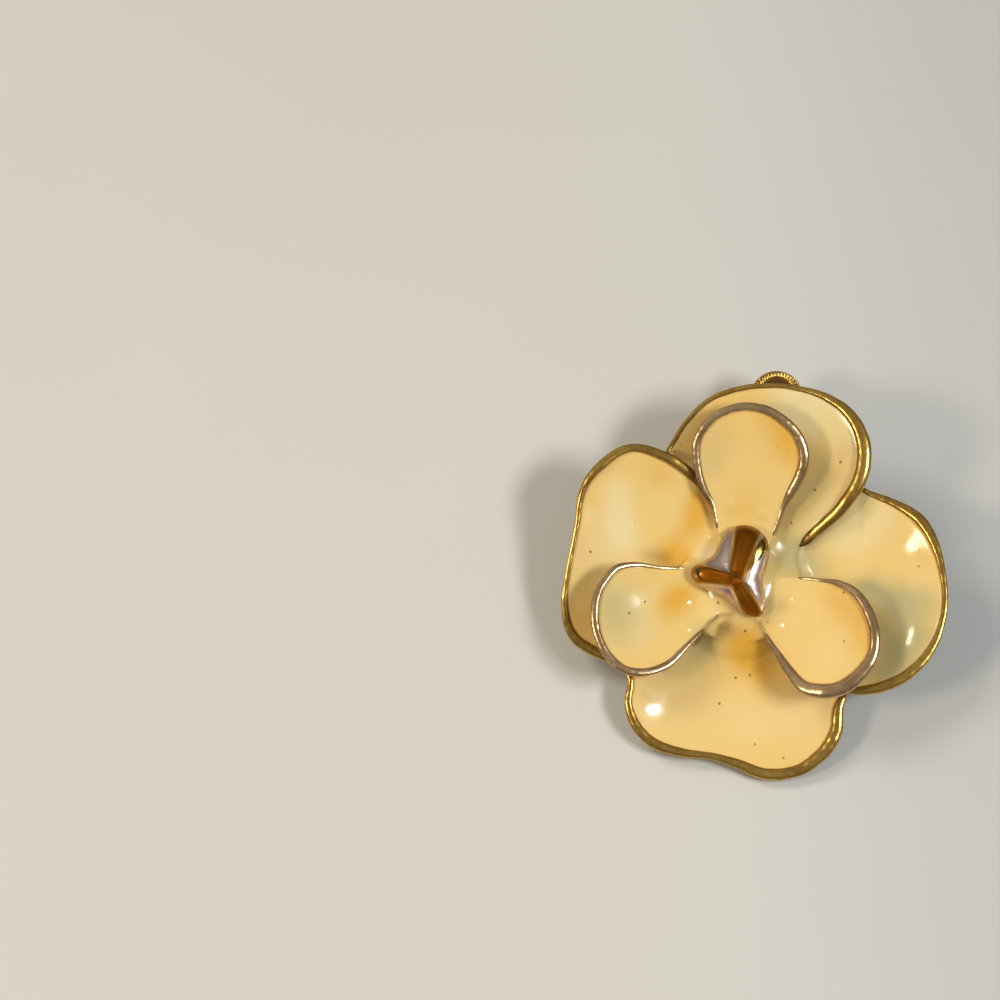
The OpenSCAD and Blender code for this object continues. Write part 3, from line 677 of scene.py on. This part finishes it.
# Enamel: cream, amber where it lies deep and as painted shade, greenish where it is stained and as
# painted shade, paler as painted light, darker as painted shade in creases and valleys, with small
# dark specks and a glossy, slightly wavy skin. Named specks stand at x, y in mm.
enamelLook = {
    # pale is mostly painted light; amber and green also serve as painted shade; shade is the
    # painted shade's colour
    "cream": (0.9, 0.635, 0.235), "rich": (0.9, 0.6, 0.19), "pale": (0.94, 0.75, 0.38),
    "amber": (0.82, 0.43, 0.05), "green": (0.53, 0.45, 0.20), "shade": (0.3, 0.18, 0.04),
    "speck": (0.1, 0.055, 0.02),
    "cloudScale": 130, "grainScale": 1170, "shadeScale": 520, "waveScale": 420,
    # how the patterns mottle the tints, and the range over which each comes in
    "mottle": {"green": (0.2, 0.7, 0.7, 1.1), "amber": (0.3, 0.7, 0.93, 1.07),
               "shade": (0.3, 0.7, 0.7, 1.1)},
    "richRange": (0.35, 0.65), "greenRange": (0.02, 1), "amberRange": (0, 1.1),
    "shadeShare": 0.85, "mostShade": 0.9,
    "specks": [[4.7, 5.4], [-2, -2.3], [0.4, -4.6], [-0.5, -8.3], [0.8, -8.1], [9.2, 10.4],
               [6.9, 8.2], [-2, -10.6], [-8.6, -2.6], [-10, -3.8], [9.2, -2.2], [-13.6, 2.8]],
    "speckR": (0.06 * mm, 0.16 * mm), "speckShare": 0.8,
    "tinyScale": 620, "tinyR": (0.05, 0.11), "tinyWhere": 210, "tinyRange": (0.55, 0.62),
    "tinyShare": 0.55,
    "gloss": (0.13, 0.25), "glossRange": (0.3, 0.9), "dullShade": 0.3,
    "bump": (0.14, 0.2 * mm), "speckBump": -0.15,
    "glass": {"IOR": 1.55, "Subsurface Weight": 0.12, "Subsurface Radius": (1, 0.55, 0.2),
              "Subsurface Scale": 0.6 * mm, "Coat Weight": 0.2, "Coat Roughness": 0.1},
}


# tiny specks in the cells of a pattern where a slower one is high, and the named ones, each 1
# up to the first radius and 0 from the second
def enamelSpecks(kit, look):
    cells = kit.add("TexVoronoi", "Distance", {"Scale": look["tinyScale"], "Vector": kit.where})
    where = kit.remap(kit.noise(look["tinyWhere"], 2), *look["tinyRange"])
    specks = kit.times(kit.remap(cells, *look["tinyR"], 1, 0), where)
    specks = kit.times(specks, look["tinyShare"])
    for x, y in look["specks"]:
        spot = lieDown(np.array([x, y, 0]))
        across = kit.add("VectorMath", "Vector", {0: kit.where, 1: (1, 1, 0)}, operation="MULTIPLY")
        gap = kit.add("VectorMath", "Value", {0: across, 1: (*spot[:2], 0)}, operation="DISTANCE")
        speck = kit.remap(gap, *look["speckR"], look["speckShare"], 0)
        specks = kit.add("Math", 0, {0: specks, 1: speck}, operation="MAXIMUM")
    return specks


def enamelMaterial():
    look = enamelLook
    mat, kit, bsdf = newMaterial("creamEnamel")
    cloud, grain = kit.noise(look["cloudScale"], 3), kit.noise(look["grainScale"], 5)
    colour = kit.mix(kit.remap(cloud, *look["richRange"]), look["cream"], look["rich"])
    # painted light: the pale mark lightens the cream where the enamel catches light
    colour = kit.mix(kit.remap(kit.mark("pale"), 0, 1), colour, look["pale"])
    # green and amber: partly stained or deeper enamel, partly painted shade
    for tint, pattern in (("green", cloud), ("amber", grain)):
        share = kit.times(kit.mark(tint), kit.remap(pattern, *look["mottle"][tint]))
        colour = kit.mix(kit.remap(share, *look[tint + "Range"]), colour, look[tint])
    # painted shade: the shade mark darkens the cream in creases and valleys
    mottle = kit.remap(kit.noise(look["shadeScale"], 4), *look["mottle"]["shade"])
    shade = kit.times(kit.mark("shade"), mottle)
    share = {0: kit.times(shade, look["shadeShare"]), 1: look["mostShade"]}
    colour = kit.mix(kit.add("Math", 0, share, operation="MINIMUM"), colour, look["shade"])
    specks = enamelSpecks(kit, look)
    dull = kit.sum(grain, kit.times(shade, look["dullShade"]))
    dull = kit.remap(dull, *look["glossRange"], *look["gloss"])
    height = kit.sum(kit.noise(look["waveScale"], 2), kit.times(specks, look["speckBump"]))
    kit.fill(bsdf, {"Base Color": kit.mix(specks, colour, look["speck"]), "Roughness": dull,
                    "Normal": kit.bump(height, *look["bump"]), **look["glass"]})
    return mat


creamEnamel = enamelMaterial()
print("materials ready")

# Castings: plates, rolled rims and a turned hub each. Hub columns: radius and height.
hubShape = {
    "outer": [[0.9, -0.9], [4.75, -0.9], [4.9, -0.75], [4.9, 0.1], [4.8, 0.2], [0.9, 0.22]],
    "inner": [[0.9, 0.3], [4, 0.3], [4.15, 0.45], [4.15, 1], [4, 1.12], [0.9, 1.15]],
    "tarnish": 0.6,
}


def casting(names, hub, seed):
    plates = [plateSkin(petals[n]) for n in names]
    rims = [rimSkin(petals[n], seed + k) for k, n in enumerate(names)]
    return plates + rims + [turnedSkin(hubShape[hub], tarnish=hubShape["tarnish"])]


makePiece("outerPetals", casting(outerNames, "outer", 3), goldMetal, "flower",
          ["outer_petals"])
makePiece("innerPetals", casting(innerNames, "inner", 13), silverMetal, "flower",
          ["inner_petals"])
for name, petal in petals.items():  # innerTop stands for enamel_inner_top, and so on
    node = "enamel_" + name.replace("inner", "inner_").lower()
    makePiece(name + "Enamel", [enamelSkin(petal)], creamEnamel, "flower", [node])

# Enamel run together at the hub: the smooth maximum of the dome and of every petal's own
# enamel, each falling off as a wall past its outline. It lies high in the middle and sinks
# into the petals' enamel towards its edge, where the blend narrows and the walls stand up.
hubEnamel = {
    "from": 0.1, "reach": 7.6, "rings": 120, "around": 640, "thick": 0.2,
    "domeTop": 2.6, "domeFoot": -0.15, "domeR": 6.8, "domePower": 1.9,
    "blend": 0.5, "blendEdge": 0.03, "outerWall": 0.8, "innerWall": 1.4, "edgeWall": 24,
    "high": 0.02, "sink": 0.05, "sinkFrom": 5, "edgeDrop": 0.5,
    "innerDive": [[3.8, 1.4, 0.05], [5.3, 0.9, 3.5]],  # start, run and fall
    "poolAt": 38, "poolWide": 14, "poolBlur": 14, "poolR": 7.2,
    "markBlend": 0.1, "markStep": 0.9,
}


def hubSkin():
    h = hubEnamel
    r = np.linspace(h["from"], h["reach"], h["rings"])[:, None]
    a = ringAngles(h["around"])[None, :]
    x, y = r * np.cos(a), r * np.sin(a)
    out = ease(r, h["sinkFrom"], h["reach"])
    share = np.clip(1 - (r / h["domeR"]) ** 2, 0, 1) ** h["domePower"]
    dome = h["domeFoot"] + (h["domeTop"] - h["domeFoot"]) * share - h["edgeDrop"] * out ** 2
    up, edgeWall = petalShape["gap"] + petalShape["enamelThick"], h["edgeWall"] * out ** 2
    outer = [petalHeightAt(petals[n], x, y, h["outerWall"] + edgeWall) + up for n in outerNames]
    inner = [petalHeightAt(petals[n], x, y, h["innerWall"] + edgeWall) + up for n in innerNames]
    # dives under the inner petals, which stand clear of the outer ones
    dive = sum(fall * ease(r, start, start + run) for start, run, fall in h["innerDive"])
    inner = [height - dive for height in inner]
    blend = h["blend"] + (h["blendEdge"] - h["blend"]) * out ** 2 + 0 * a
    z = softMax([dome + 0 * a] + outer + inner, blend) + h["high"] - (h["high"] + h["sink"]) * out
    # the pool beside the top petal's rim is smoothed round the hub
    pool = np.exp(-((a - math.radians(h["poolAt"])) / math.radians(h["poolWide"])) ** 2)
    z = z + pool * np.clip(h["poolR"] - r, 0, 1) * (blurLoop(z, h["poolBlur"]) - z)
    part = ease(np.max(inner, axis=0) - softMax(outer, h["markBlend"]), 0, h["markStep"])
    low, high = (enamelMarks(x, y, layer, edgeTint["farEdge"]) for layer in ("outer", "inner"))
    marks = {key: low[key] * (1 - part) + high[key] * part for key in low}
    top = np.stack([x, y, z], -1)
    return sheetSkin(top, top - [0, 0, h["thick"]], marks)


makePiece("hubEnamel", [hubSkin()], creamEnamel, "flower", ["enamel_dome"])


# Bud: three flat-topped arms that meet off the middle, and a low shoulder. Across an arm its
# height falls off as 1 / (1 + (distance / half width)^8), with a trough of depth
# (1 - (distance / half width)^4)^2 between two worn edges; the sides between the arms bulge as
# side - slope * d - bulge * d^2. The foot's edge rises as (1 - s^2.6)^0.5.
budShape = {
    "centre": (-0.25, -0.1), "floor": 2.35, "around": 300, "rings": 110, "meet": (-0.15, -0.25),
    # foot: bearing in degrees, reach
    "foot": [[5, 2.3], [30, 3.2], [50, 4.6], [66, 5.2], [81, 5.3], [95, 4.9], [110, 4],
             [128, 3.2], [148, 3.6], [163, 4.2], [178, 3.7], [205, 2.1], [243, 1.8], [283, 2.8],
             [303, 3.7], [320, 3.3], [345, 2.6], [365, 2.4]],
    # arms: end x and y, half width where they meet and at the end, height there and at the end
    "arms": [[0.95, 4.75, 0.66, 1.16, 2.9, 2.3], [-3.45, 0.62, 0.5, 0.8, 2.85, 2.15],
             [1.45, -3.35, 0.56, 0.84, 2.85, 1.9], [2.95, 3.9, 0.2, 0.55, 1.1, 2.25]],
    "troughArms": 3, "trough": 0.34, "troughFrom": 0.25, "troughRun": 0.9, "troughEnd": 1.05,
    "side": 1.5, "sideSlope": 0.12, "bulge": 0.1, "sideLow": 0.2, "blend": 0.07,
    "flatPower": 8, "fallPower": 1.3, "footBlur": 2.2, "footHigh": 0.25, "footPower": 2.6,
    "waves": 0.03, "crest": 0.6, "edgeTarnish": 0.25, "underTarnish": 0.4, "stemTarnish": 0.5,
    # stem and rivet head: radius and height
    "stem": [[0.05, 2.5], [0.8, 2.5], [0.8, -1.7], [0.05, -1.7]],
    "rivet": [[0.05, -2.1], [1.2, -2.1], [1.45, -1.95], [1.5, -1.8], [1.5, -1.68], [0.05, -1.68]],
}


def budSkin():
    b = budShape
    a = ringAngles(b["around"])
    foot = np.array(b["foot"], float)
    bearing = np.degrees(a) + np.where(np.degrees(a) < foot[0, 0], 360, 0)
    reach = rowsAt(foot, np.interp(bearing, foot[:, 0], np.arange(len(foot))))[:, 1]
    reach = blurLoop(reach, b["footBlur"])
    s = np.sin(np.linspace(0.01, 1, b["rings"]) * np.pi / 2)[:, None]
    x, y = s * reach * np.cos(a) + b["centre"][0], s * reach * np.sin(a) + b["centre"][1]
    mx, my = b["meet"]
    heights, troughs, flats = [], [], []
    for ex, ey, w0, w1, h0, h1 in b["arms"]:
        length = math.hypot(ex - mx, ey - my)
        u = ((x - mx) * (ex - mx) + (y - my) * (ey - my)) / length
        v = ((y - my) * (ex - mx) - (x - mx) * (ey - my)) / length
        t = np.clip(u / length, 0, 1)
        share = np.hypot(v, np.maximum(-u, 0)) / (w0 + (w1 - w0) * t)
        flats.append(1 / (1 + share ** b["flatPower"]))
        heights.append(b["side"] + (h0 + (h1 - h0) * t ** b["fallPower"] - b["side"]) * flats[-1])
        troughs.append(np.clip(1 - share ** 4, 0, 1) ** 2 * np.clip(b["troughEnd"] - t ** 8, 0, 1))
    d = np.hypot(x - mx, y - my)
    side = np.maximum(b["side"] - b["sideSlope"] * d - b["bulge"] * d ** 2, b["sideLow"])
    trough = np.max(troughs[:b["troughArms"]], axis=0)
    up = softMax([side] + heights, b["blend"])
    up = up - b["trough"] * trough * np.clip(d / b["troughRun"], b["troughFrom"], 1)
    edge = (1 - np.minimum(s, 1) ** b["footPower"]) ** 0.5
    z = b["floor"] + b["footHigh"] + (up - b["footHigh"]) * edge
    z = z + b["waves"] * waver(2.2 * x + 0.8 * y, 21) * waver(2.0 * y - x, 22) * edge
    top = np.stack([x, y, z], -1)
    last = [-1, -1]  # the flat underside: the foot's ring, and the same drawn in to a tenth
    under = np.array([[[1, 1, 0]], [[0.1, 0.1, 0]]]) * top[last] + [0, 0, b["floor"]]
    hollow = 1 - np.max(flats, axis=0)
    hollow = np.vstack([hollow, hollow[last]])
    tarnish = np.vstack([b["edgeTarnish"] * (1 - edge) + 0 * d, b["underTarnish"] + 0 * d[last]])
    return skin(np.concatenate([top, under]), hollow=hollow, deep=np.vstack([trough, trough[last]]),
                crest=b["crest"] * (1 - hollow), tarnish=tarnish)


stems = [turnedSkin(budShape[k], tarnish=budShape["stemTarnish"]) for k in ("stem", "rivet")]
makePiece("bud", [budSkin()] + stems, budMetal, "flower", ["bud"])

# Clip: a back plate with two ears, the hinge pin across them and the sprung lever
clipShape = {
    "plateZ": (-1.65, -0.95), "plateR": 3.2, "plateEnd": 5.7, "plateSteps": (30, 40), "bevel": 0.12,
    "ears": (2.4, 3.2), "earR": 1.3, "earTop": 0.3, "earSteps": (20, 20),
    "hinge": (4.4, -5), "pinR": 0.5, "pinHalf": 3.45, "peenR": 0.75,
    "barrelR": 1.05, "barrel": 4.4,
    "leverW": 3.4, "leverT": 0.7, "leverL": 14, "bow": 2.1, "bowPower": 0.85, "lift": 1.3,
    "strapEnd": 0.93, "strapGrid": (90, 72), "squareSide": 0.28, "squareFace": 0.45,
    # round end: radius less padR, face up or down, height off it; knurls on its edge
    "padR": 2.4, "padGrid": (90, 360), "padFlat": (0.35, 0.55), "padCrest": 0.6,
    "knurl": 0.045, "knurls": 46, "knurlIn": 0.15, "knurlWide": 0.3, "knurlOut": 0.5,
    "pad": [[-2.35, 1, -0.14], [-0.75, 1, -0.16], [-0.62, 1, -0.06], [-0.45, 1, 0], [-0.12, 1, 0],
            [0, 1, -0.12], [0, -1, 0.12], [-0.12, -1, 0], [-0.5, -1, 0], [-0.62, -1, 0.06],
            [-2.35, -1, 0.06]],
    "tarnish": {"plate": 0.5, "ear": 0.45, "strap": 0.35, "pad": 0.95, "barrel": 0.4, "pin": 0.3},
}


# a slab: its outline drawn in by bevel * (1 - sin) at both faces, scaled about its middle
def slabSkin(outline, low, high, axis=2, **marks):
    bevel = clipShape["bevel"]
    mid = 0.5 * (outline.min(0) + outline.max(0))
    away = outline - mid
    size = np.hypot(*away.T)[:, None]
    q = np.linspace(0, np.pi / 2, 7)
    inset, rise = bevel * (1 - np.sin(q)), bevel * (1 - np.cos(q))
    centre = [0.98 * size.min()]  # the faces' middle rings
    inset = np.concatenate([centre, inset, inset[::-1], centre])
    level = np.concatenate([[low], low + rise, high - rise[::-1], [high]])
    rings = mid + away[None] * (1 - inset[:, None, None] / size[None])
    level = np.broadcast_to(level[:, None, None], rings.shape[:2] + (1,))
    rings = np.concatenate([rings, level], -1)
    return skin(rings[..., [2, 0, 1]] if axis == 0 else rings, clipDown, **marks)


# half a circle about x, y with straight sides up to end
def tongue(x, y, r, end, sideSteps, endSteps):
    a = np.linspace(np.pi, 2 * np.pi, 60)
    side = np.linspace(y, end, sideSteps + 1)[1:]
    back = np.linspace(end, y, sideSteps + 1)[1:]
    across = np.linspace(x + r, x - r, endSteps + 1)[1:]
    return np.vstack([np.stack([x + r * np.cos(a), y + r * np.sin(a)], -1),
                      np.stack([0 * side + x + r, side], -1),
                      np.stack([across, 0 * across + end], -1),
                      np.stack([0 * back + x - r, back], -1)])


# round bar along X at the hinge: radius and x pairs
def barSkin(profile, **marks):
    rx = np.array(profile, float)
    a = ringAngles(96)
    y, z = clipShape["hinge"]
    ring = np.stack([rx[:, 1:] + 0 * a, y + rx[:, :1] * np.cos(a), z + rx[:, :1] * np.sin(a)], -1)
    return skin(ring, clipDown, **marks)


def frameSkins():
    c = clipShape
    low, high = c["ears"]
    plate = tongue(0, 0, c["plateR"], c["plateEnd"], *c["plateSteps"])
    ear = tongue(*c["hinge"], c["earR"], c["plateZ"][0] + c["earTop"], *c["earSteps"])
    return ([slabSkin(plate, *c["plateZ"], tarnish=c["tarnish"]["plate"])]
            + [slabSkin(ear, *ends, axis=0, tarnish=c["tarnish"]["ear"], crest=0.3)
               for ends in ((low, high), (-high, -low))])


# the lever's middle line: straight from the hinge, rising by lift, less bow * sin(pi s^0.85)
def leverLine(s):
    c = clipShape
    y, z = c["hinge"]
    bow = c["bow"] * np.sin(np.pi * s ** c["bowPower"])
    return np.stack([y + c["leverL"] * s, z + c["lift"] * s - bow], -1)


# strap: a rounded rectangle |cos|^0.28, |sin|^0.45 carried along the line, square to its slope
def strapSkin():
    c = clipShape
    rows, around = c["strapGrid"]
    line = leverLine(np.linspace(0, c["strapEnd"], rows))
    slope = np.gradient(line, axis=0)
    slope /= np.hypot(*slope.T)[:, None]
    square = np.stack([-slope[:, 1], slope[:, 0]], -1)
    a = ringAngles(around)
    u = squared(np.cos(a), c["squareSide"]) * c["leverW"] / 2
    v = squared(np.sin(a), c["squareFace"]) * c["leverT"] / 2
    yz = line[:, None, :] + v[None, :, None] * square[:, None, :]
    strap = np.concatenate([np.broadcast_to(u[None, :, None], yz.shape[:2] + (1,)), yz], -1)
    return skin(strap, clipDown, tarnish=c["tarnish"]["strap"], crest=np.clip(np.abs(v) * 2, 0, 1))


# round end: the pad profile turned about the line's end, its edge knurled by
# knurl * sin(knurls * angle) * exp(-((radius - edge) / knurlWide)^2)
def padSkin():
    c = clipShape
    y, z = leverLine(np.array([1]))[0]
    rows, around = c["padGrid"]
    profile = [[c["padR"] + r, face * c["leverT"] / 2 + off] for r, face, off in c["pad"]]
    profile = rowsAt(profile, np.linspace(0, len(profile) - 1, rows))
    radius, height = profile[:, :1], profile[:, 1:]
    a = ringAngles(around)
    edge = np.exp(-((radius - (c["padR"] - c["knurlIn"])) / c["knurlWide"]) ** 2)
    knurl = c["knurl"] * np.sin(a * c["knurls"])[None, :] * edge
    start, end = c["padFlat"]
    inner = np.clip((c["padR"] - end - radius) / (end - start), 0, 1) + 0 * a
    radius = radius + c["knurlOut"] * knurl
    ring = np.stack([radius * np.cos(a), y + radius * np.sin(a), z + height + knurl], -1)
    return skin(ring, clipDown, tarnish=c["tarnish"]["pad"] * inner,
                crest=c["padCrest"] * (1 - inner))


def barrelSkin():
    b, h, edge = clipShape["barrelR"], clipShape["barrel"] / 2, 0.15
    half = [[0.05, h], [b - edge, h], [b, h - edge]]
    return barSkin([[r, -x] for r, x in half] + half[::-1], tarnish=clipShape["tarnish"]["barrel"])


def pinSkin():
    c = clipShape
    r, h, p = c["pinR"], c["pinHalf"], c["peenR"]
    half = [[0.05, h], [p * 0.7, h], [p, h - 0.12], [p, h - 0.25], [r, h - 0.26]]
    return barSkin([[q, -x] for q, x in half] + half[::-1], tarnish=c["tarnish"]["pin"])


makePiece("clipFrame", frameSkins(), goldMetal, "flower", ["clip_frame"])
makePiece("hingePin", [pinSkin()], goldMetal, "flower", ["hinge_pin"])
makePiece("clipLever", [strapSkin(), padSkin(), barrelSkin()], goldMetal, "lever", ["clip_lever"])
print("all pieces made")

# Floor, light and camera
room = {
    # painted shade: the floor darkens towards +X by floorShadeRight over fade, standing in for the
    # lamps' falloff
    "floor": (0.665, 0.645, 0.59), "floorShadeRight": (0.84, 0.86, 0.88), "fade": (-0.01, 0.03),
    "cloudScale": 28, "cloud": 0.02, "roughness": 0.7, "half": 0.6,
    "above": (0.2, 0.197, 0.19), "around": (0.07, 0.067, 0.062), "riseFrom": 0.45,
}


def floorMaterial():
    mat, kit, bsdf = newMaterial("paleFloor")
    axes = kit.add("SeparateXYZ", "X", {0: kit.where})
    pair = [[k * v for v in room["floor"]] for k in (1 - room["cloud"], 1 + room["cloud"])]
    cloud = kit.mix(kit.noise(room["cloudScale"], 4), *pair)
    # painted shade: the floor's colour is multiplied down towards +X
    fade = kit.remap(axes, *room["fade"])
    colour = kit.mix(fade, cloud, room["floorShadeRight"], blend_type="MULTIPLY")
    kit.fill(bsdf, {"Base Color": colour, "Roughness": room["roughness"]})
    return mat


wide = room["half"]
floorMesh = bpy.data.meshes.new("floor")
corners = [(-wide, -wide, 0), (wide, -wide, 0), (wide, wide, 0), (-wide, wide, 0)]
floorMesh.from_pydata(corners, [], [(0, 1, 2, 3)])
floorMesh.materials.append(floorMaterial())
floor = addObject("floor", floorMesh)

world = bpy.data.worlds.new("room")
bpy.context.scene.world = world
world.use_nodes = True
kit = NodeKit(world.node_tree, "Generated")  # brighter overhead than around
rise = {"Value": kit.add("SeparateXYZ", "Z", {0: kit.where}), "From Min": room["riseFrom"]}
climb = kit.add("MapRange", "Result", rise)
sky = kit.mix(climb, room["around"], room["above"])
kit.fill(world.node_tree.nodes["Background"], {"Color": sky})

# lamps: bearing and height in degrees, distance, width, height, power, colour, shown in gloss
lamps = {
    "warmWindow": [-158, 47, 0.34, 0.07, 0.06, 0.31, (1, 0.86, 0.66), True],
    "coolWindow": [-24, 54, 0.4, 0.11, 0.06, 0.92, (0.91, 0.95, 1), True],
    "backLight": [150, 50, 0.5, 0.18, 0.16, 0.82, (1, 0.95, 0.88), False],
    "sideGlow": [140, 40, 0.5, 0.5, 0.5, 0.16, (1, 0.96, 0.92), True],
}
cameraSpot = {"place": (-0.002948, -0.09843, 0.256416), "turn": (22.7372, 4.1774, 1.0202),
              "lens": 106.092, "sensor": 36, "clip": 0.01}


# a lamp stands at distance times its direction from the flower and looks at it
def addLamp(name, bearing, height, distance, wide, high, power, colour, inGloss):
    data = bpy.data.lights.new(name, "AREA")
    data.shape, data.size, data.size_y = "RECTANGLE", wide, high
    data.energy, data.color = power, colour
    lamp = addObject(name, data)
    across, up = turned(1, 0, height)
    lamp.location = Vector((*turned(across, 0, bearing), up)) * distance
    lamp.rotation_euler = (-lamp.location).to_track_quat("-Z", "Y").to_euler()
    lamp.visible_glossy = inGloss


for name, row in lamps.items():
    addLamp(name, *row)

camera = addObject("camera", bpy.data.cameras.new("camera"))
camera.location = cameraSpot["place"]
camera.rotation_euler = [math.radians(v) for v in cameraSpot["turn"]]
camera.data.lens, camera.data.sensor_width = cameraSpot["lens"], cameraSpot["sensor"]
camera.data.clip_start = cameraSpot["clip"]
bpy.context.scene.camera = camera
bpy.context.scene.view_settings.view_transform = "Standard"
print("floor, light and camera set")
